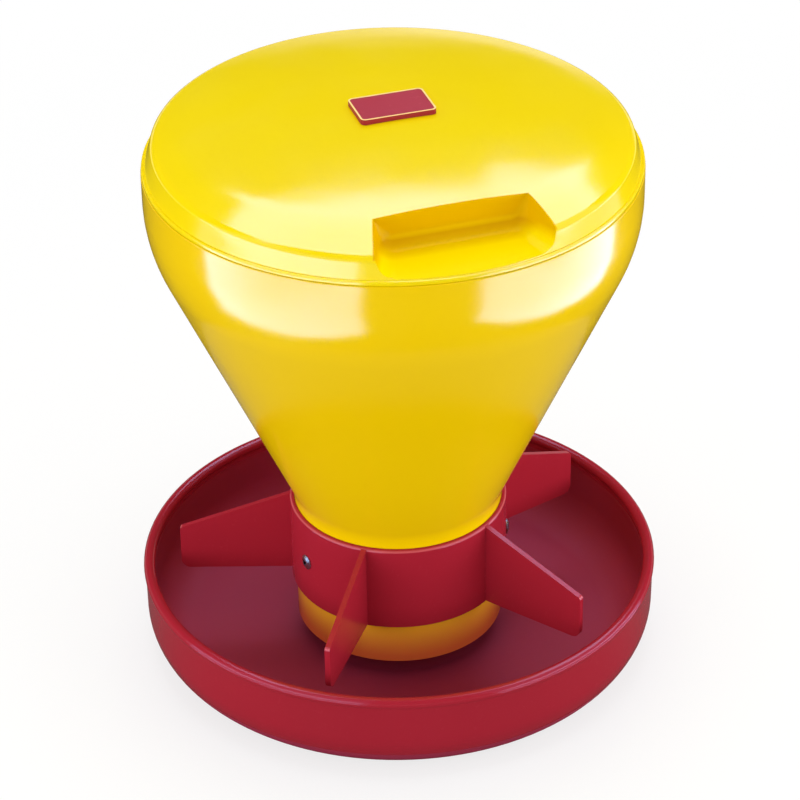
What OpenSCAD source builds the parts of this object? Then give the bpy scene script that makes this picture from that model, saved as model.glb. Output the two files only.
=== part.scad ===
// Round pan feeder: a lidded hopper whose neck lets feed down into a shallow pan,
// with a ring of fins around the neck that parts the pan into eating places.
// Millimetres, +Z up, origin at the centre of the pan's base, the lid's grip pocket towards -Y.
// Angles around the feeder are counted from -Y, positive towards +X.

/* [Pan] */
// Outside diameter over the rolled rim
pan_d = 270; // [255:1:300]
// Height of the rim above the ground
pan_h = 50; // [46:1:58]
// Thickness of the pan's wall and floor
pan_wall = 4; // [3:0.25:4.5]
// Radius of the round that joins the base and the wall, outside
pan_corner_r = 25; // [18:1:30]
// How much narrower the wall is at the base than at the rim, on the radius
pan_draft = 0.5; // [0:0.1:1.5]
// Radius of the rolled rim's section
rim_r = 3; // [2.6:0.1:3.4]
// How far the rolled rim stands out from the wall
rim_step = 0.7; // [0.3:0.1:1.2]
// Height of the spreader cone above the pan's floor
cone_h = 26; // [22:1:30]
// Radius of the flat on top of the spreader cone
cone_top_r = 14; // [12.5:0.5:18]
// Distance from the neck's outside in to the foot of the spreader cone
cone_setback = 8; // [6:0.5:12]
// Radius of the round at the foot of the spreader cone
cone_foot_r = 8; // [4:1:12]

/* [Hopper] */
// Outside diameter of the neck
neck_d = 108.6; // [100:0.2:118]
// Outside diameter of the mouth
mouth_d = 247.6; // [230:0.2:260]
// Wall thickness of the hopper
hopper_wall = 2.5; // [2:0.1:3]
// Slope of the cone from the vertical
cone_angle = 24; // [21:0.5:28]
// Outside radius of the shoulder between the cone and the mouth
shoulder_r = 84.7; // [60:0.5:100]
// Outside radius of the blend between the neck and the cone
neck_blend_r = 20; // [10:1:30]
// Length of the straight wall from the shoulder up to the mouth's edge
mouth_straight = 15; // [12:0.5:25]
// Height of the gap under the neck that the feed runs out through
feed_gap = 10.5; // [8:0.5:14]
// Length of bare neck between the collar and the cone
neck_show = 5.3; // [3:0.1:12]
// Radius of the edges of the mouth and of the neck's foot
hopper_edge_r = 0.5; // [0.2:0.1:0.9]
// Outside radius of the hub that the tie bolt passes through
hub_r = 11; // [9.5:0.5:12.5]
// Height of the hub and its arms
hub_h = 12; // [8:1:16]
// Thickness of each arm that carries the hub
arm_t = 4; // [3:0.5:6]
// Number of arms that carry the hub
arm_count = 3; // [3, 5]

/* [Lid] */
// Thickness of the lid's skin
lid_wall = 2.4; // [1.8:0.1:3]
// How far the lid's flange stays inside the mouth's outside
flange_setback = 0.3; // [0:0.1:1.5]
// Thickness of the flange that rests on the mouth
flange_t = 2.5; // [2:0.1:3.5]
// Width of the flange outside the foot of the lid's wall
flange_w = 1.55; // [1:0.05:3]
// Radius of the flange's outer edges
flange_edge_r = 0.8; // [0.3:0.1:0.95]
// Height of the lid's wall from the flange to the corner under the dome
lid_side_h = 14; // [11:0.5:18]
// Lean of the lid's wall from the vertical
lid_lean = 17; // [10:0.5:22]
// Radius of the corner between the lid's wall and its dome
lid_edge_r = 4; // [3.2:0.1:6]
// Rise of the dome from that corner to the crown
dome_rise = 12; // [9:0.5:16]
// Depth of the locating ring that drops into the mouth
spigot_h = 8; // [5:0.5:11]
// Thickness of the locating ring
spigot_t = 2.2; // [1.8:0.1:3]

/* [Grip pocket] */
// Distance from the flange's edge in to the back wall of the pocket
pocket_reach = 35; // [28:0.5:40]
// Width of the pocket along its back wall
pocket_back_w = 76.4; // [60:0.2:84]
// Spread of each side wall from square to the back wall
pocket_flare = 17; // [8:0.5:22]
// Height of the pocket's floor above the flange, at the back wall
pocket_rise = 1.5; // [1:0.25:4]
// Radius of the round along the pocket's floor
pocket_floor_r = 9; // [5:0.25:10]
// Radius of the pocket's upright corners where they meet the dome
pocket_corner_r = 0.6; // [0.4:0.1:2]

/* [Badge] */
// Length of the plain badge plate
badge_l = 38.4; // [30:0.2:46]
// Width of the plain badge plate
badge_w = 24.6; // [18:0.2:30]
// Height of the badge's top above the crown of the lid
badge_t = 2.6; // [1.8:0.1:3.5]
// Radius of the badge's corners
badge_corner_r = 2.6; // [1.5:0.1:4]
// Width of the raised edge around the badge
badge_border = 0.9; // [0.6:0.1:1.6]
// Depth of the field inside the raised edge
badge_sink = 0.3; // [0.2:0.05:0.6]

/* [Fin collar] */
// Height of the collar's lower edge above the ground
collar_z = 38; // [34:0.5:44]
// Length of the collar along the neck
collar_h = 48; // [42:0.5:54]
// Wall thickness of the collar
collar_wall = 2.3; // [1.8:0.1:3]
// Radius of the collar's upper outside edge
collar_edge_r = 1.7; // [0.5:0.1:1.7]
// Radius of the collar's lower outside edge
collar_foot_r = 0.6; // [0.2:0.1:1.5]
// Number of fins
fin_count = 5; // [3:1:7]
// Thickness of each fin
fin_t = 2.8; // [2:0.1:4]
// Distance from the fins' outer edges to the pan's wall
fin_gap = 15; // [8:0.5:25]
// Height of the fins at their outer edges
fin_tip_h = 26; // [20:0.5:34]
// How far the fins start below the collar's upper edge
fin_root_drop = 0.4; // [0.1:0.1:3]
// Height of the fins' lower edges above the collar's lower edge
fin_rise = 0.8; // [0.5:0.1:3]
// Radius of the fins' upper outer corners
fin_top_r = 2; // [1:0.25:4]
// Radius of the fins' lower outer corners
fin_bottom_r = 5; // [2:0.25:8]

/* [Rivets] */
// Diameter of the rivets' shanks
rivet_d = 4; // [3.2:0.1:4.8]
// Diameter of the rivets' heads
rivet_head_d = 8; // [7:0.1:9.5]
// Height of the rivets' heads
rivet_head_h = 1.4; // [1:0.1:2]
// Diameter of the rivets' set tails
rivet_tail_d = 6; // [5.4:0.1:7.5]
// Length of the rivets' set tails
rivet_tail_h = 3.6; // [2.5:0.1:5]
// Diameter of the hole left in the head by the drawn stem
rivet_stem_d = 2.2; // [1.6:0.1:2.8]
// How far the rivet on the left is drilled past the middle between its fins, in degrees
rivet_stray = 3; // [0:0.5:6]

/* [Tie bolt] */
// Thread diameter of the tie bolt
bolt_d = 8; // [6:0.5:9]
// Width of the bolt's head across its flats
bolt_head_af = 13; // [11:0.5:14]
// Height of the bolt's head
bolt_head_h = 5.3; // [4:0.1:6]
// Length of thread that stands out of the nut
bolt_spare = 4; // [1:0.5:6]
// Outside diameter of the washers
washer_d = 17; // [15:0.5:18]
// Thickness of the washers
washer_t = 1.6; // [1:0.1:2.5]
// Height of the wing nut's body
nut_h = 9; // [7:0.5:11]
// Radius of the wing nut's body at its foot
nut_r = 8; // [7:0.5:8.5]
// Radius of the wing nut's body at its top
nut_top_r = 6.4; // [5.8:0.1:7]
// Span over the wing nut's two wings
wing_span = 40; // [32:1:46]
// Height of the wings above the nut's foot
wing_h = 19; // [16:0.5:22]
// Thickness of the wings
wing_t = 3; // [2:0.25:4]

/* [Fits] */
// Gap around the neck inside the collar
collar_clear = 0.15; // [0.05:0.05:0.4]
// Gap around the locating ring inside the mouth
spigot_clear = 0.6; // [0.3:0.05:1]
// Gap around the bolt in the holes that it passes through
bolt_clear = 0.5; // [0.25:0.05:0.8]
// Gap between the bolt's thread and the wing nut, whose threads are left plain
thread_clear = 0.08; // [0.05:0.01:0.15]
// Gap around the rivets in their holes
rivet_clear = 0.1; // [0.05:0.05:0.25]
// Gap left under the rivets' heads and tails
rivet_seat = 0.03; // [0.02:0.01:0.08]
// Thickness of the glue between the badge and the lid
badge_glue = 0.06; // [0.03:0.01:0.15]

/* [Hidden] */
$fn = 96;
arc_tolerance = 0.02;
overrun = 5;
sink = 1;

// Pan
rim_centre_r = pan_d / 2 - rim_r;
rim_centre_z = pan_h - rim_r;
pan_wall_r = pan_d / 2 - rim_step;
pan_floor_z = pan_wall;
neck_r = neck_d / 2;
cone_foot = neck_r - cone_setback;
cone_top_z = pan_floor_z + cone_h;
cone_run = (cone_foot - cone_top_r) / cone_h;
cone_skin = pan_wall * sqrt(1 + cone_run * cone_run);

// Hopper
neck_bottom_z = pan_floor_z + feed_gap;
collar_top_z = collar_z + collar_h;
neck_top_z = collar_top_z + neck_show;
neck_inner_r = neck_r - hopper_wall;
mouth_r = mouth_d / 2;
shoulder_z = neck_top_z + (mouth_r - neck_r) / tan(cone_angle);
rim_z = shoulder_z + shoulder_r * tan(cone_angle / 2) + mouth_straight;
skin_lift = hopper_wall * tan(cone_angle / 2);

// Lid
flange_r = mouth_r - flange_setback;
flange_top_z = rim_z + flange_t;
lid_foot_r = flange_r - flange_w;
lid_corner_r = lid_foot_r - lid_side_h * tan(lid_lean);
lid_corner_z = flange_top_z + lid_side_h;
crown_z = lid_corner_z + dome_rise;
dome_bend_r = lid_corner_r / 2 - lid_edge_r;
dome_slope = atan(dome_rise / (lid_corner_r - dome_bend_r));
dome_r = (dome_bend_r - sink) / tan(dome_slope / 2);
spigot_r = mouth_r - hopper_wall - spigot_clear;
pocket_back_y = flange_r - pocket_reach;
pocket_back_z = flange_top_z + pocket_rise;
pocket_fall = pocket_rise / (lid_foot_r - pocket_back_y);
pocket_corner_out = norm([pocket_back_w / 2, pocket_back_y]);
pocket_corner_z = crown_z - dome_r + sqrt(dome_r * dome_r - pocket_corner_out * pocket_corner_out) - sink;

// Fin collar
collar_bore_r = neck_r + collar_clear;
collar_r = collar_bore_r + collar_wall;
fin_r = pan_wall_r - pan_wall - fin_gap;
fin_step = 360 / fin_count;
fin_angles = [for (i = [0 : fin_count - 1]) fin_step * (i + 0.5)];
rivet_angles = [for (i = [1 : fin_count - 1]) fin_step * i - (i == fin_count - 1 ? rivet_stray : 0)];

// Rivets
rivet_z = collar_z + collar_h / 2;
rivet_sag = neck_inner_r - sqrt(neck_inner_r * neck_inner_r - rivet_tail_d * rivet_tail_d / 4);
rivet_grip = collar_r - neck_inner_r + rivet_sag + 2 * rivet_seat;

// Tie bolt
bolt_r = bolt_d / 2;
bolt_hole_r = bolt_r + bolt_clear;
hub_top_z = cone_top_z + hub_h;
cone_plate_z = cone_top_z - pan_wall;
bolt_head_z = cone_plate_z - washer_t - bolt_head_h;
nut_z = hub_top_z + washer_t;
bolt_tip_z = nut_z + nut_h + bolt_spare;

// Points along an arc, close enough together to stay within the tolerance
function arc_points(centre, r, from, to) =
    let (steps = max(2, ceil(abs(to - from) / (2 * acos(1 - arc_tolerance / r)))))
    [for (i = [0 : steps])
        let (angle = from + (to - from) * i / steps)
        centre + r * [cos(angle), sin(angle)]];

// Points that round the corner b of the path a, b, c with radius r
function unit(v) = v / norm(v);
function corner_arc(a, b, c, r) =
    let (
        u = unit(a - b),
        w = unit(c - b),
        half = acos(u * w) / 2,
        centre = b + unit(u + w) * r / sin(half),
        start = b + u * r / tan(half) - centre,
        from = atan2(start[1], start[0]),
        turn = sign(u[1] * w[0] - u[0] * w[1]) * (180 - 2 * half)
    )
    arc_points(centre, r, from, from + turn);

// Closed outline from corners given as [x, y] or, where rounded, as [x, y, radius]
function spot(p) = [p[0], p[1]];
function rounded(corners) =
    let (n = len(corners))
    [for (i = [0 : n - 1])
        each (len(corners[i]) == 3
            ? corner_arc(
                spot(corners[(i + n - 1) % n]), spot(corners[i]), spot(corners[(i + 1) % n]), corners[i][2])
            : [corners[i]])];

module turned(corners) {
    rotate_extrude()
        polygon(rounded(corners));
}

// Places children at an angle around the feeder, with +X pointing outwards
module at_angle(angle) {
    rotate([0, 0, angle - 90])
        children();
}

// Upright plate of an outline drawn in radius and height
module upright_plate(corners, thickness) {
    rotate([90, 0, 0])
        linear_extrude(height = thickness, center = true)
            polygon(rounded(corners));
}

module rounded_plate(length, width, corner_r, height) {
    linear_extrude(height = height)
        polygon(rounded([
            [-length / 2, -width / 2, corner_r],
            [length / 2, -width / 2, corner_r],
            [length / 2, width / 2, corner_r],
            [-length / 2, width / 2, corner_r]]));
}

// Round pan with a rolled rim and a hollow spreader cone in the middle
module pan() {
    base_r = pan_wall_r - pan_draft;
    inner_r = pan_wall_r - pan_wall;
    hollow_top_r = cone_top_r + cone_run * pan_wall - cone_skin;
    hollow_foot_r = cone_foot + cone_run * pan_floor_z - cone_skin;
    rim_from = -acos((pan_wall_r - rim_centre_r) / rim_r);
    rim_to = 180 + acos((rim_centre_r - inner_r) / rim_r);
    color("firebrick")
        turned(concat(
            [[bolt_hole_r, cone_plate_z],
             [hollow_top_r, cone_plate_z],
             [hollow_foot_r, 0],
             [base_r, 0, pan_corner_r]],
            arc_points([rim_centre_r, rim_centre_z], rim_r, rim_from, rim_to),
            [[base_r - pan_wall, pan_floor_z, pan_corner_r - pan_wall],
             [cone_foot, pan_floor_z, cone_foot_r],
             [cone_top_r, cone_top_z],
             [bolt_hole_r, cone_top_z]]));
}

// Funnel-shaped hopper, moulded in one with the hub and arms inside its neck
module hopper() {
    color("gold")
        difference() {
            union() {
                turned([
                    [neck_r, neck_bottom_z, hopper_edge_r],
                    [neck_r, neck_top_z, neck_blend_r],
                    [mouth_r, shoulder_z, shoulder_r],
                    [mouth_r, rim_z, hopper_edge_r],
                    [mouth_r - hopper_wall, rim_z, hopper_edge_r],
                    [mouth_r - hopper_wall, shoulder_z + skin_lift, shoulder_r - hopper_wall],
                    [neck_inner_r, neck_top_z + skin_lift, neck_blend_r + hopper_wall],
                    [neck_inner_r, neck_bottom_z, hopper_edge_r]]);
                translate([0, 0, cone_top_z])
                    hub_arms();
            }
            rivet_holes();
            translate([0, 0, cone_top_z - overrun])
                cylinder(r = bolt_hole_r, h = hub_h + 2 * overrun);
        }
}

module hub_arms() {
    arm_end = neck_r - hopper_wall / 2;
    cylinder(r = hub_r, h = hub_h);
    for (i = [0 : arm_count - 1])
        at_angle(360 / arm_count * (i + 0.5))
            translate([0, -arm_t / 2, 0])
                cube([arm_end, arm_t, hub_h]);
}

// Collar that sleeves the neck, moulded in one with the fins that part the pan
module fin_collar() {
    fin_root_r = collar_r - collar_wall / 2;
    color("crimson")
        difference() {
            union() {
                turned([
                    [collar_bore_r, collar_z],
                    [collar_r, collar_z, collar_foot_r],
                    [collar_r, collar_top_z, collar_edge_r],
                    [collar_bore_r, collar_top_z]]);
                for (angle = fin_angles)
                    at_angle(angle)
                        upright_plate([
                            [fin_root_r, collar_z + fin_rise],
                            [fin_r, collar_z + fin_rise, fin_bottom_r],
                            [fin_r, collar_z + fin_tip_h, fin_top_r],
                            [fin_root_r, collar_top_z - fin_root_drop]], fin_t);
            }
            rivet_holes();
        }
}

module rivet_holes() {
    for (angle = rivet_angles)
        at_angle(angle)
            translate([neck_inner_r - overrun, 0, rivet_z])
                rotate([0, 90, 0])
                    cylinder(d = rivet_d + 2 * rivet_clear, h = collar_r - neck_inner_r + 2 * overrun);
}

// Blind rivets that fix the collar to the neck
module collar_rivets() {
    color("gainsboro")
        for (angle = rivet_angles)
            at_angle(angle)
                translate([collar_r + rivet_seat, 0, rivet_z])
                    rotate([0, 90, 0])
                        rivet();
}

// Rivet along Z: its head above zero, its shank and set tail below
module rivet() {
    head_r = rivet_head_d / 2;
    tail_r = rivet_tail_d / 2;
    tail_z = -rivet_grip - rivet_tail_h;
    turned([
        [0, tail_z],
        [tail_r, tail_z, rivet_tail_h / 3],
        [tail_r, -rivet_grip],
        [rivet_d / 2, -rivet_grip],
        [rivet_d / 2, 0],
        [head_r, 0],
        [head_r, rivet_head_h / 3],
        [head_r / 2, rivet_head_h],
        [rivet_stem_d / 2, rivet_head_h],
        [rivet_stem_d / 2, rivet_head_h / 3],
        [0, rivet_head_h / 3]]);
}

// Outer form of the lid above its flange, drawn inwards by inset
module lid_dome(inset) {
    wall_inset = inset / cos(lid_lean);
    lean = (90 + lid_lean - dome_slope) / 2;
    corner_inset = inset / cos((90 - lid_lean - dome_slope) / 2);
    turned([
        [0, flange_top_z],
        [lid_foot_r - wall_inset, flange_top_z],
        [lid_corner_r - corner_inset * cos(lean),
         lid_corner_z - corner_inset * sin(lean), lid_edge_r - inset],
        [dome_bend_r - inset * tan(dome_slope / 2), crown_z - inset, dome_r - inset],
        [0, crown_z - inset]]);
}

// Space of the grip pocket, grown outwards by the thickness of its skin:
// wide rounds along the floor draw in to sharp upright corners at the dome
module pocket(grow) {
    front_y = flange_r + overrun + pocket_floor_r;
    spread = (front_y - pocket_back_y) * tan(pocket_flare);
    front_z = pocket_back_z - (front_y - pocket_back_y) * pocket_fall;
    corner_h = crown_z + overrun - pocket_corner_z;
    hull()
        for (side = [-1, 1]) {
            for (end = [[0, pocket_back_y, pocket_back_z], [spread, front_y, front_z]]) {
                translate([side * (pocket_back_w / 2 + end[0] - pocket_floor_r),
                           -end[1] - pocket_floor_r, end[2] + pocket_floor_r])
                    sphere(r = pocket_floor_r + grow, $fn = 32);
                translate([side * (pocket_back_w / 2 + end[0] - pocket_corner_r),
                           -end[1] - pocket_corner_r, pocket_corner_z])
                    cylinder(r = pocket_corner_r + grow, h = corner_h, $fn = 32);
            }
        }
}

// Domed lid with a flange on the mouth, a ring inside it and a grip pocket at the front
module lid() {
    color("gold")
        difference() {
            union() {
                lid_dome(0);
                turned([
                    [0, rim_z - spigot_h],
                    [spigot_r, rim_z - spigot_h],
                    [spigot_r, rim_z],
                    [flange_r, rim_z, flange_edge_r],
                    [flange_r, flange_top_z, flange_edge_r],
                    [0, flange_top_z]]);
            }
            pocket(0);
            difference() {
                union() {
                    lid_dome(lid_wall);
                    translate([0, 0, rim_z - spigot_h - sink])
                        cylinder(r = spigot_r - spigot_t, h = spigot_h + flange_t + 2 * sink);
                }
                pocket(lid_wall);
            }
        }
}

// Plain badge plate with a raised edge, bedded on the crown of the lid
module lid_badge() {
    field_cut = 2 * badge_border;
    color("brown")
        difference() {
            translate([0, 0, crown_z - sink])
                rounded_plate(badge_l, badge_w, badge_corner_r, badge_t + sink);
            translate([0, 0, badge_glue])
                lid_dome(0);
            translate([0, 0, crown_z + badge_t - badge_sink])
                rounded_plate(badge_l - field_cut, badge_w - field_cut, badge_corner_r - badge_border, sink);
        }
}

// Bolt up through the spreader cone and the hub
module tie_bolt() {
    head_r = bolt_head_af / 2 / cos(30);
    chamfer = bolt_d / 8;
    color("silver") {
        translate([0, 0, bolt_head_z])
            cylinder(r = head_r, h = bolt_head_h, $fn = 6);
        turned([
            [0, bolt_head_z + bolt_head_h / 2],
            [bolt_r, bolt_head_z + bolt_head_h / 2],
            [bolt_r, bolt_tip_z - chamfer],
            [bolt_r - chamfer, bolt_tip_z],
            [0, bolt_tip_z]]);
    }
}

// Washers under the spreader cone and on top of the hub
module tie_washers() {
    color("lightgray")
        for (z = [cone_plate_z - washer_t, hub_top_z])
            translate([0, 0, z])
                difference() {
                    cylinder(d = washer_d, h = washer_t);
                    translate([0, 0, -sink])
                        cylinder(r = bolt_hole_r, h = washer_t + 2 * sink);
                }
}

// Wing nut that draws the hopper down on the pan
module wing_nut() {
    color("silver")
        translate([0, 0, nut_z])
            difference() {
                union() {
                    turned([
                        [0, 0],
                        [nut_r, 0],
                        [nut_r, nut_h / 3],
                        [nut_top_r, nut_h],
                        [0, nut_h]]);
                    for (turn = [0, 180])
                        rotate([0, 0, turn])
                            upright_plate([
                                [0, nut_h / 6],
                                [nut_r, nut_h / 6],
                                [wing_span / 2, wing_h - nut_h, wing_t],
                                [wing_span / 2, wing_h, wing_t],
                                [wing_span / 2 - nut_r, wing_h, wing_t],
                                [0, nut_h - sink]], wing_t);
                }
                translate([0, 0, -sink])
                    cylinder(r = bolt_r + thread_clear, h = wing_h + 2 * sink);
            }
}

pan();
hopper();
fin_collar();
collar_rivets();
lid();
lid_badge();
tie_bolt();
tie_washers();
wing_nut();
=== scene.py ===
"""Pan feeder: moulded yellow hopper and lid over a red pan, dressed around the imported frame."""

import math

import bpy
from mathutils import Matrix, Vector

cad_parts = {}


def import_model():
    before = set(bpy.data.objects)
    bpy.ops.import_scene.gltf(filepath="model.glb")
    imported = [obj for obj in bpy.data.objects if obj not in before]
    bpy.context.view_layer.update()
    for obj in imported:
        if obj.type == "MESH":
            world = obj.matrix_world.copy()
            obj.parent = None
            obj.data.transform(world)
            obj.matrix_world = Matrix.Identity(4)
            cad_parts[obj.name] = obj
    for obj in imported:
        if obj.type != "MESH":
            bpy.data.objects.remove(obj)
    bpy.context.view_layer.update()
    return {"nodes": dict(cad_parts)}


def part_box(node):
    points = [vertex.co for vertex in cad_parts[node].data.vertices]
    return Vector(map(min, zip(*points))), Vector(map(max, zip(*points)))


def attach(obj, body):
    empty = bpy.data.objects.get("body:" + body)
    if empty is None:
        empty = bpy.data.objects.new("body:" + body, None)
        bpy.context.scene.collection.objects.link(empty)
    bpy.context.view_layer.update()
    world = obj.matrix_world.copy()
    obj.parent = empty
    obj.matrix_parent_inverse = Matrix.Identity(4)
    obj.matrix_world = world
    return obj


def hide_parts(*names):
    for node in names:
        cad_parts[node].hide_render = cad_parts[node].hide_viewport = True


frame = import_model()
nodes = frame["nodes"]
scene = bpy.context.scene


# Node helpers

class Tree:
    """A material's node tree with short calls for making and joining nodes."""

    def __init__(self, name):
        self.material = bpy.data.materials.new(name)
        self.material.use_nodes = True
        self.tree = self.material.node_tree
        self.tree.nodes.clear()

    def node(self, kind, inputs=None, **settings):
        made = self.tree.nodes.new(kind)
        for key, value in settings.items():
            setattr(made, key, value)
        for key, value in (inputs or {}).items():
            if isinstance(value, bpy.types.NodeSocket):
                self.tree.links.new(value, made.inputs[key])
            else:
                made.inputs[key].default_value = value
        return made

    def place(self):
        return self.node("ShaderNodeTexCoord").outputs["Object"]

    def axis(self, name):
        return self.node("ShaderNodeSeparateXYZ", {0: self.place()}).outputs[name]

    def height(self):
        return self.axis("Z")

    def reach(self):
        flat = self.node("ShaderNodeVectorMath", {0: self.place(), 1: (1.0, 1.0, 0.0)}, operation="MULTIPLY")
        return self.node("ShaderNodeVectorMath", {0: flat.outputs[0]}, operation="LENGTH").outputs["Value"]

    def noise(self, scale, detail=2.0, where=None, stretch=None):
        where = where or self.place()
        if stretch:
            where = self.node("ShaderNodeMapping", {"Vector": where, "Scale": stretch}).outputs[0]
        made = self.node("ShaderNodeTexNoise", {"Vector": where, "Scale": scale, "Detail": detail})
        return made.outputs[0]

    def spread(self, value, low, high, out_low=0.0, out_high=1.0):
        return self.node("ShaderNodeMapRange", {
            "Value": value, "From Min": low, "From Max": high, "To Min": out_low, "To Max": out_high,
        }).outputs[0]

    def mix(self, factor, a, b, blend="MIX"):
        made = self.node("ShaderNodeMix", data_type="RGBA", blend_type=blend)
        for index, value in ((0, factor), (6, a), (7, b)):
            if isinstance(value, bpy.types.NodeSocket):
                self.tree.links.new(value, made.inputs[index])
            else:
                made.inputs[index].default_value = value
        return made.outputs[2]

    def maths(self, operation, *values):
        return self.node("ShaderNodeMath", dict(enumerate(values)), operation=operation).outputs[0]

    def bump(self, height, strength, distance, under=None):
        inputs = {"Height": height, "Strength": strength, "Distance": distance}
        if under:
            inputs["Normal"] = under
        return self.node("ShaderNodeBump", inputs).outputs[0]

    def finish(self, shader):
        out = self.node("ShaderNodeOutputMaterial")
        self.tree.links.new(shader.outputs[0], out.inputs["Surface"])
        return self.material


def rgb(red, green, blue):
    """Colour as a screen shows it, 0 to 255, in the linear form that shaders take."""
    def linear(channel):
        c = channel / 255
        return c / 12.92 if c <= 0.04045 else ((c + 0.055) / 1.055) ** 2.4
    return (linear(red), linear(green), linear(blue), 1.0)


# Materials

def moulded_plastic(name, base, deep, pale, roughness, specular, paint=None, worn=None, shade=None):
    """Glossy injection-moulded plastic: faint flow marks, fine pale specks and uneven gloss."""
    t = Tree(name)
    flow = t.noise(9.0, 3.0, stretch=(1.0, 1.0, 0.35))
    colour = t.mix(t.spread(flow, 0.3, 0.7), base, deep)
    speck = t.noise(420.0, 2.0)
    colour = t.mix(t.spread(speck, 0.62, 0.8, 0.0, 0.25), colour, pale)
    if paint:
        colour = paint(t, colour)
    gloss = t.noise(30.0, 4.0)
    rough = t.spread(gloss, 0.3, 0.7, roughness - 0.03, roughness + 0.05)
    if worn:
        rough = t.maths("MAXIMUM", rough, worn(t))
    ripple = t.noise(55.0, 1.0)
    grain = t.noise(1500.0, 2.0)
    normal = t.bump(grain, 0.12, 0.0001, t.bump(ripple, 0.1, 0.0004))
    if shade:
        specular = t.maths("MULTIPLY", t.spread(shade(t), 0.0, 1.0, 1.0, 0.05), specular)
    shader = t.node("ShaderNodeBsdfPrincipled", {
        "Base Color": colour, "Roughness": rough, "Normal": normal,
        "Specular IOR Level": specular, "IOR": 1.5,
    })
    return t.finish(shader)


def turned_metal(name, light, dull, roughness, paint=None):
    """Bare metal with brushed marks and a little tarnish."""
    t = Tree(name)
    marks = t.noise(260.0, 3.0, stretch=(1.0, 1.0, 4.0))
    tarnish = t.noise(120.0, 3.0)
    colour = t.mix(t.spread(tarnish, 0.35, 0.7), light, dull)
    if paint:
        colour = paint(t, colour)
    rough = t.spread(marks, 0.3, 0.7, roughness - 0.06, roughness + 0.1)
    normal = t.bump(marks, 0.1, 0.0001)
    shader = t.node("ShaderNodeBsdfPrincipled", {
        "Base Color": colour, "Metallic": 1.0, "Roughness": rough, "Normal": normal,
    })
    return t.finish(shader)


# Places that the finishes change at: some from the frame, and the lid's and its pocket's own sizes
collar_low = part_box("fin_collar")[0].z
collar_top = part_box("fin_collar")[1].z
rivet_z = (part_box("collar_rivets")[0].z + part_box("collar_rivets")[1].z) / 2
mouth_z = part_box("hopper")[1].z
badge_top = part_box("lid_badge")[1].z
RIM_H = 0.006
RIM_T = 0.003
rim_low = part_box("pan")[1].z - RIM_H
trough_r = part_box("pan")[1].x - RIM_T
# Height over which the painted light on the hopper's lower cone fades out
CONE_PAINTED_LIGHT_H = 0.09
# Radius of the painted shade in each rivet's stem hollow
STEM_R = 0.0012
LID_FOOT_R = 0.1223
LID_LEAN = math.radians(17)
POCKET_BACK = 0.0884
POCKET_HALF = 0.0384
POCKET_FLARE = math.radians(17)
# Heights at which the grip pocket's painted shade changes
pocket_floor_z = mouth_z + 0.006
pocket_fold_z = mouth_z + 0.009
pocket_wall_z = mouth_z + 0.011


def in_pocket(t):
    """One on the walls and floor of the lid's grip pocket, where the plastic shades itself."""
    x = t.maths("ABSOLUTE", t.axis("X"))
    depth = t.maths("MULTIPLY", t.axis("Y"), -1.0)
    half = t.maths("MULTIPLY_ADD", t.maths("SUBTRACT", depth, POCKET_BACK), math.tan(POCKET_FLARE), POCKET_HALF)
    within = t.maths("LESS_THAN", x, half)
    behind = t.maths("GREATER_THAN", depth, POCKET_BACK)
    rise = t.maths("SUBTRACT", t.height(), mouth_z)
    inside = t.maths("LESS_THAN", t.maths("MULTIPLY_ADD", rise, math.tan(LID_LEAN), t.reach()), LID_FOOT_R)
    above = t.maths("GREATER_THAN", rise, 0.0)
    return t.maths("MULTIPLY", t.maths("MULTIPLY", within, behind), t.maths("MULTIPLY", inside, above))


def yellow_tone_and_painted_light(t, colour):
    """The hopper is a shade warmer than the lid, with painted light on its lower cone and painted red bounce
    light and shade on its foot; the grip pocket has painted shade.
    """
    # Painted shade in the grip pocket: walls darker than its floor, and a brown painted shade along the fold at
    # the foot of the back wall
    wall = t.spread(t.height(), pocket_floor_z, pocket_wall_z)
    hollow = t.mix(wall, rgb(254, 224, 0), rgb(230, 180, 0))
    back = t.maths("SUBTRACT", t.maths("MULTIPLY", t.axis("Y"), -1.0), POCKET_BACK)
    fold = t.maths("MULTIPLY", t.spread(back, 0.0006, 0.0016), t.spread(back, 0.003, 0.013, 1.0, 0.0))
    fold = t.maths("MULTIPLY", fold, t.spread(t.height(), pocket_fold_z, pocket_wall_z, 0.7, 0.0))
    colour = t.mix(in_pocket(t), colour, t.mix(fold, hollow, rgb(206, 140, 0)))
    # The hopper a shade warmer than the lid, with painted light making its lower cone paler than the cone above
    below = t.spread(t.height(), mouth_z - 0.0001, mouth_z, 1.0, 0.0)
    cone = t.spread(t.height(), collar_top, collar_top + CONE_PAINTED_LIGHT_H)
    colour = t.mix(below, colour, t.mix(cone, rgb(255, 215, 0), rgb(247, 206, 0)))
    # Painted red bounce light and shade on the hopper's foot under the collar
    foot = t.spread(t.height(), collar_low - 0.02, collar_low + 0.01, 0.9, 0.0)
    return t.mix(foot, colour, rgb(255, 124, 72))


def gilt_edge(t, colour):
    """The badge's raised edge is rubbed with cream paint."""
    edge = t.spread(t.height(), badge_top - 0.0002, badge_top - 0.0001)
    return t.mix(edge, colour, rgb(250, 218, 140))


def trough_painted_shade(t, colour):
    """Painted shade: the trough inside, below the rim, is tinted duller and bluer."""
    return t.mix(t.maths("MULTIPLY", feed_worn_and_shade_mask(t), 0.9), colour, rgb(160, 50, 84))


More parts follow.
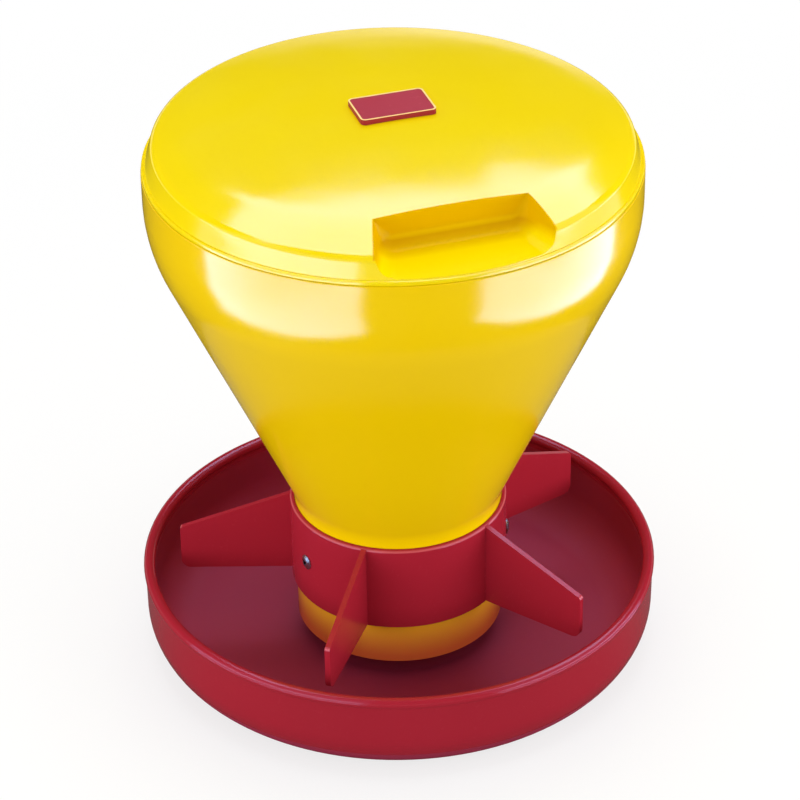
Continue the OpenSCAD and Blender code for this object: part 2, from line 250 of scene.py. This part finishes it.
def feed_worn_and_shade_mask(t):
    """Roughness of the trough, which feed and beaks have rubbed dull; also the mask of the trough's painted
    shade tint.
    """
    low = t.spread(t.height(), rim_low - 0.005, rim_low, 1.0, 0.0)
    inside = t.spread(t.reach(), trough_r - 0.001, trough_r, 0.62, 0.0)
    return t.maths("MULTIPLY", low, inside)


def edge_painted_highlight(t, colour):
    """Painted highlight: the rounded edges of the collar and its fins are painted paler."""
    normal = t.node("ShaderNodeNewGeometry").outputs["Normal"]
    rise = t.node("ShaderNodeSeparateXYZ", {0: normal}).outputs["Z"]
    edge = t.maths("MULTIPLY", t.spread(rise, 0.15, 0.4, 0.0, 0.6), t.spread(rise, 0.7, 0.92, 1.0, 0.0))
    return t.mix(edge, colour, rgb(222, 104, 108))


def rivet_turns():
    """Angles at which the rivets stand out from the middle."""
    turns = sorted(math.atan2(v.co.y, v.co.x) for v in nodes["collar_rivets"].data.vertices)
    groups = [[turns[0]]]
    for turn in turns[1:]:
        if turn - groups[-1][-1] > 0.2:
            groups.append([])
        groups[-1].append(turn)
    return [(group[0] + group[-1]) / 2 for group in groups]


def stem_hollow_shade(t, colour):
    """Painted shade: the hollow that the snapped stem leaves in each head is painted dark."""
    rise = t.maths("SUBTRACT", t.height(), rivet_z)
    square = t.maths("MULTIPLY", rise, rise)
    nearest = 1.0
    for turn in rivet_turns():
        across = t.maths("MULTIPLY", t.axis("Y"), math.cos(turn))
        across = t.maths("MULTIPLY_ADD", t.axis("X"), -math.sin(turn), across)
        away = t.maths("SQRT", t.maths("MULTIPLY_ADD", across, across, square))
        nearest = t.maths("MINIMUM", away, nearest)
    hollow = t.spread(nearest, STEM_R, STEM_R + 0.0003, 1.0, 0.0)
    return t.mix(hollow, colour, rgb(38, 38, 46))


yellow = moulded_plastic(
    "yellow_plastic", rgb(248, 220, 0), rgb(245, 215, 0), rgb(250, 225, 8), 0.13, 0.5, yellow_tone_and_painted_light,
    shade=in_pocket)
red = moulded_plastic(
    "red_plastic", rgb(166, 32, 49), rgb(159, 30, 46), rgb(178, 50, 64), 0.16, 0.3, trough_painted_shade, feed_worn_and_shade_mask)
collar_red = moulded_plastic(
    "collar_red", rgb(175, 36, 54), rgb(168, 34, 51), rgb(186, 54, 68), 0.2, 0.3, edge_painted_highlight)
badge_red = moulded_plastic(
    "badge_red", rgb(172, 44, 56), rgb(162, 38, 50), rgb(190, 70, 80), 0.42, 0.3, gilt_edge)
rivet_metal = turned_metal("rivet_metal", rgb(206, 205, 204), rgb(170, 169, 168), 0.28, stem_hollow_shade)
plated_steel = turned_metal("plated_steel", rgb(204, 204, 206), rgb(160, 160, 162), 0.32)

FINISHES = {
    "pan": red, "fin_collar": collar_red, "hopper": yellow, "lid": yellow, "lid_badge": badge_red,
    "collar_rivets": rivet_metal, "tie_bolt": plated_steel, "tie_washers": plated_steel,
    "wing_nut": plated_steel,
}
for name, finish in FINISHES.items():
    mesh = nodes[name].data
    mesh.materials.clear()
    mesh.materials.append(finish)


# The lid's shoulder, then moulded edges and smooth skins as modifiers

FLANGE_T = 0.0025
LID_SIDE_H = 0.014
SHOULDER_R = 0.095
CORNER_R = 0.117
CORNER_DROP = 0.005
CORNER_OUT = CORNER_DROP * math.tan(LID_LEAN)


def lid_moulding():
    """The lid as the photo shows it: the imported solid's form, with its corner dipping towards the pocket."""
    made = bpy.data.objects.new("lid_moulding", nodes["lid"].data.copy())
    scene.collection.objects.link(made)
    for vert in made.data.vertices:
        x, y, z = vert.co
        reach = math.hypot(x, y)
        outward = min(max((reach - SHOULDER_R) / (CORNER_R - SHOULDER_R), 0.0), 1.0)
        upward = min(max((z - mouth_z - FLANGE_T) / LID_SIDE_H, 0.0), 1.0)
        forward = (1.0 - y / max(reach, SHOULDER_R)) / 2
        share = outward ** 2 * upward * forward
        grow = 1.0 + CORNER_OUT * share / max(reach, SHOULDER_R)
        vert.co = (x * grow, y * grow, z - CORNER_DROP * share)
    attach(made, "root")
    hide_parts("lid")
    return made


def smooth_skin():
    """Node group that joins the facets' corners and shades every shallow edge smooth."""
    group = bpy.data.node_groups.new("smooth_skin", "GeometryNodeTree")
    group.interface.new_socket("Geometry", in_out="INPUT", socket_type="NodeSocketGeometry")
    group.interface.new_socket("Geometry", in_out="OUTPUT", socket_type="NodeSocketGeometry")
    start = group.nodes.new("NodeGroupInput")
    end = group.nodes.new("NodeGroupOutput")
    joined = group.nodes.new("GeometryNodeMergeByDistance")
    joined.inputs["Distance"].default_value = 1e-6
    angle = group.nodes.new("GeometryNodeInputMeshEdgeAngle")
    steep = group.nodes.new("FunctionNodeCompare")
    steep.operation = "GREATER_THAN"
    steep.inputs[1].default_value = math.radians(34)
    normals = group.nodes.new("GeometryNodeSetMeshNormal")
    normals.mode = "SHARPNESS"
    normals.inputs["Remove Custom"].default_value = True
    group.links.new(start.outputs[0], joined.inputs[0])
    group.links.new(joined.outputs[0], normals.inputs["Mesh"])
    group.links.new(angle.outputs["Unsigned Angle"], steep.inputs[0])
    group.links.new(steep.outputs[0], normals.inputs["Edge Sharpness"])
    group.links.new(normals.outputs[0], end.inputs[0])
    return group


SMOOTH = smooth_skin()
EDGE_ROUNDS = {"fin_collar": 0.0006, "lid_badge": 0.0002, "wing_nut": 0.0004}
dressed = dict(nodes, lid_moulding=lid_moulding())
for name, node in dressed.items():
    if name in EDGE_ROUNDS:
        weld = node.modifiers.new("weld", "WELD")
        weld.merge_threshold = 1e-6
        flat = node.modifiers.new("flat", "DECIMATE")
        flat.decimate_type = "DISSOLVE"
        flat.angle_limit = math.radians(1)
        rounded = node.modifiers.new("rounded", "BEVEL")
        rounded.width = EDGE_ROUNDS[name]
        rounded.segments = 3
        rounded.limit_method = "ANGLE"
        rounded.angle_limit = math.radians(34)
    skin = node.modifiers.new("skin", "NODES")
    skin.node_group = SMOOTH
    weighted = node.modifiers.new("weighted", "WEIGHTED_NORMAL")
    weighted.keep_sharp = True
    weighted.weight = 60


# Floor, light and camera

FLOOR_HALF = 6.0
TABLE_R = 0.26
SHADOW_R = 0.35
WHITE_R = 0.8
CARD_DISTANCE = 0.9
CARD_WIDTH = 1.4
IMAGE_SIZE = 800
COOL = (0.42, 0.6, 1.0, 1.0)
WHITE = (1.0, 1.0, 1.0, 1.0)


def floor():
    """Pale floor that keeps the shadow; past the table's edge, highlights come from the cards."""
    mesh = bpy.data.meshes.new("floor")
    corners = [(x * FLOOR_HALF, y * FLOOR_HALF, 0.0) for x, y in ((-1, -1), (1, -1), (1, 1), (-1, 1))]
    mesh.from_pydata(corners, [], [(0, 1, 2, 3)])
    made = bpy.data.objects.new("floor", mesh)
    scene.collection.objects.link(made)
    t = Tree("floor")
    path = t.node("ShaderNodeLightPath")
    seen = path.outputs["Is Camera Ray"]
    bounce = t.mix(path.outputs["Is Glossy Ray"], (0.45, 0.45, 0.45, 1.0), (0.15, 0.15, 0.15, 1.0))
    pale = t.node("ShaderNodeBsdfDiffuse", {"Color": t.mix(seen, bounce, (0.9, 0.9, 0.9, 1.0))})
    white = t.node("ShaderNodeEmission", {"Color": WHITE, "Strength": 1.0})
    lifted = t.maths("MULTIPLY", seen, t.spread(t.reach(), SHADOW_R, WHITE_R, 0.75, 1.0))
    mixed = t.node("ShaderNodeMixShader", {0: lifted, 1: pale.outputs[0], 2: white.outputs[0]})
    beyond = t.maths("GREATER_THAN", t.reach(), TABLE_R)
    from_below = t.node("ShaderNodeNewGeometry").outputs["Backfacing"]
    through = t.maths("MAXIMUM", t.maths("MULTIPLY", path.outputs["Is Glossy Ray"], beyond), from_below)
    clear = t.node("ShaderNodeBsdfTransparent")
    mixed = t.node("ShaderNodeMixShader", {0: through, 1: mixed.outputs[0], 2: clear.outputs[0]})
    mesh.materials.append(t.finish(mixed))


def at_angle(azimuth, distance, height):
    """A point around the object, at an angle counted from -Y towards +X."""
    a = math.radians(azimuth)
    return Vector((math.sin(a) * distance, -math.cos(a) * distance, height))


def aim(azimuth, elevation, distance=1.8):
    """A point in that direction from the front of the lid."""
    e = math.radians(elevation)
    way = at_angle(azimuth, math.cos(e), math.sin(e))
    return Vector((0.0, -0.08, 0.3)) + way * distance


def card(name, azimuth, low, high, strength):
    """A white card that stands beside the object and shows only as a highlight."""
    foot = at_angle(azimuth, CARD_DISTANCE, 0.0)
    side = at_angle(azimuth + 90, CARD_WIDTH / 2, 0.0)
    corners = [foot - side, foot + side, foot + side, foot - side]
    for corner, z in zip(corners, (low, low, high, high)):
        corner.z = z
    panel(name, corners, strength)


def panel(name, corners, strength):
    """A glowing card that only first reflections show, tinted to suit the photo's cool highlights."""
    mesh = bpy.data.meshes.new(name)
    mesh.from_pydata([tuple(c) for c in corners], [], [(0, 1, 2, 3)])
    made = bpy.data.objects.new(name, mesh)
    scene.collection.objects.link(made)
    t = Tree(name)
    path = t.node("ShaderNodeLightPath")
    first = t.maths("LESS_THAN", path.outputs["Glossy Depth"], 1.5)
    glow = t.node("ShaderNodeEmission", {"Color": COOL, "Strength": t.maths("MULTIPLY", first, strength)})
    mesh.materials.append(t.finish(glow))
    t.material.cycles.emission_sampling = "NONE"
    made.visible_camera = False
    made.visible_diffuse = False
    made.visible_shadow = False


def lamp(name, place, target, size, power):
    """A soft lamp that lights the object and isn't mirrored in it."""
    data = bpy.data.lights.new(name, "AREA")
    data.shape = "RECTANGLE"
    data.size, data.size_y = size
    data.energy = power
    made = bpy.data.objects.new(name, data)
    scene.collection.objects.link(made)
    made.location = place
    made.rotation_mode = "QUATERNION"
    made.rotation_quaternion = (target - place).to_track_quat("-Z", "Y")
    made.visible_glossy = False
    made.visible_camera = False


def world():
    """Dim fill light, behind a background that is white where the camera or a reflection meets it."""
    made = bpy.data.worlds.new("studio")
    scene.world = made
    made.use_nodes = True
    tree = made.node_tree
    tree.nodes.clear()

    def node(kind, inputs=(), **settings):
        new = tree.nodes.new(kind)
        for key, value in settings.items():
            setattr(new, key, value)
        for index, value in enumerate(inputs):
            if isinstance(value, bpy.types.NodeSocket):
                tree.links.new(value, new.inputs[index])
            else:
                new.inputs[index].default_value = value
        return new

    path = node("ShaderNodeLightPath")
    way = node("ShaderNodeTexCoord").outputs["Generated"]
    rise = node("ShaderNodeSeparateXYZ", (way,)).outputs["Z"]
    fade = node("ShaderNodeMapRange", (rise, 0.04, 0.14, 1.0, 0.04)).outputs[0]
    depth = node("ShaderNodeMapRange", (rise, -0.1, -0.02, 0.04, 1.0)).outputs[0]
    band = node("ShaderNodeMath", (fade, depth), operation="MINIMUM").outputs[0]
    mirrored = node("ShaderNodeMath", (path.outputs["Is Glossy Ray"], path.outputs["Is Transmission Ray"]),
                    operation="MAXIMUM").outputs[0]
    fill = node("ShaderNodeBackground", (WHITE, 0.62))
    horizon = node("ShaderNodeBackground", (WHITE, band))
    white = node("ShaderNodeBackground", (WHITE, 1.0))
    lit = node("ShaderNodeMixShader", (mirrored, fill.outputs[0], horizon.outputs[0]))
    shown = node("ShaderNodeMixShader", (path.outputs["Is Camera Ray"], lit.outputs[0], white.outputs[0]))
    node("ShaderNodeOutputWorld", (shown.outputs[0],))


def camera():
    """The photograph's own view, found from the outlines of the rims."""
    turn = math.radians(-17.5)
    focal_pixels, distance, height = 3140.92, 1.36665, 1.00354
    tilt, swing, roll = math.radians(32.246), math.radians(0.074), math.radians(-0.843)
    ahead = Vector((math.sin(swing) * math.cos(tilt), math.cos(swing) * math.cos(tilt), -math.sin(tilt)))
    right = ahead.cross(Vector((0, 0, 1))).normalized()
    up = right.cross(ahead)
    across = math.cos(roll) * right + math.sin(roll) * up
    upright = -math.sin(roll) * right + math.cos(roll) * up
    pose = Matrix((across, upright, -ahead)).transposed().to_4x4()
    pose.translation = Vector((0, -distance, height))
    data = bpy.data.cameras.new("camera")
    data.sensor_width = 36.0
    data.lens = focal_pixels / IMAGE_SIZE * data.sensor_width
    made = bpy.data.objects.new("camera", data)
    scene.collection.objects.link(made)
    made.matrix_world = Matrix.Rotation(turn, 4, "Z") @ pose
    scene.camera = made


floor()
world()
lamp("overhead", Vector((0.0, 0.0, 1.8)), Vector((0, 0, 0.3)), (0.8, 0.8), 8.2)
lamp("back", at_angle(165, 1.0, 1.3), Vector((0, 0, 0.2)), (1.2, 0.6), 4.6)
lamp("left", at_angle(-70, 1.0, 0.22), Vector((0, 0, 0.2)), (1.4, 0.35), 5.8)
lamp("right", at_angle(58, 1.0, 0.22), Vector((0, 0, 0.2)), (1.4, 0.35), 6.8)
for side, azimuth, foot in (("left", -70, -0.74), ("right", 58, -0.59)):
    card("card_low_" + side, azimuth, foot, -0.16, 9.5)
    card("card_dim_" + side, azimuth, -0.16, 0.25, 1.8)
    card("card_mid_" + side, azimuth, 0.25, 0.4, 9.5)
    card("card_high_" + side, azimuth, 0.4, 1.9, 1.2)
TOP_CARDS = {
    "card_top": (((190, 42), (153, 42), (153, 74), (190, 74)), 7.0),
    "card_top_right": (((153, 37), (136, 33), (136, 66), (153, 74)), 6.8),
    "card_far_right": (((136, 35), (100, 40), (90, 66), (136, 66)), 7.2),
    "card_far_left": (((190, 46), (228, 52), (235, 72), (190, 74)), 7.2),
    "card_over": (((215, 48), (255, 55), (75, 55), (115, 45)), 7.6),
}
for name, (ways, strength) in TOP_CARDS.items():
    panel(name, [aim(*way) for way in ways], strength)
camera()

scene.view_settings.view_transform = "Standard"
